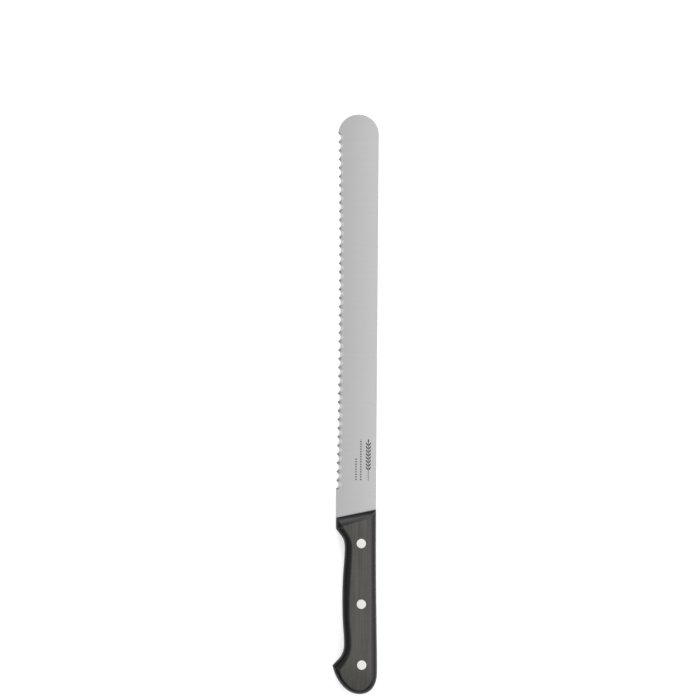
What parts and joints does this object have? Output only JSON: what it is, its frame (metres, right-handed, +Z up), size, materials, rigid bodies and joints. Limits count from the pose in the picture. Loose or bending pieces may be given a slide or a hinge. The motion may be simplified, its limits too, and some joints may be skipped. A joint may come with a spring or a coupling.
{
  "type": "bread knife",
  "caption": "Long knife with a straight scalloped edge, a round blunt tip and a full tang between two riveted black handle scales, for slicing bread and sponge cake.",
  "frame": {"origin": "centre of the bottom of the bounding box, with the knife lying on its right side", "axes": "+Y along the blade towards the tip, +X from the cutting edge towards the spine, +Z up out of the left face, the face with the ground scallops"},
  "size_m": [0.0338, 0.436, 0.016],
  "materials": {
    "blade_steel": "flat ground, fine cross-brushed satin",
    "handle_plastic": "matt black with a very fine lengthwise grain, edges slightly polished",
    "rivet_steel": "ground flush and polished"
  },
  "bodies": {
    "root": {"blade": "blade_steel", "left_scale": "handle_plastic", "right_scale": "handle_plastic", "front_rivet_tube": "rivet_steel", "front_rivet_pin": "rivet_steel", "middle_rivet_tube": "rivet_steel", "middle_rivet_pin": "rivet_steel", "rear_rivet_tube": "rivet_steel", "rear_rivet_pin": "rivet_steel"}
  },
  "joints": []
}
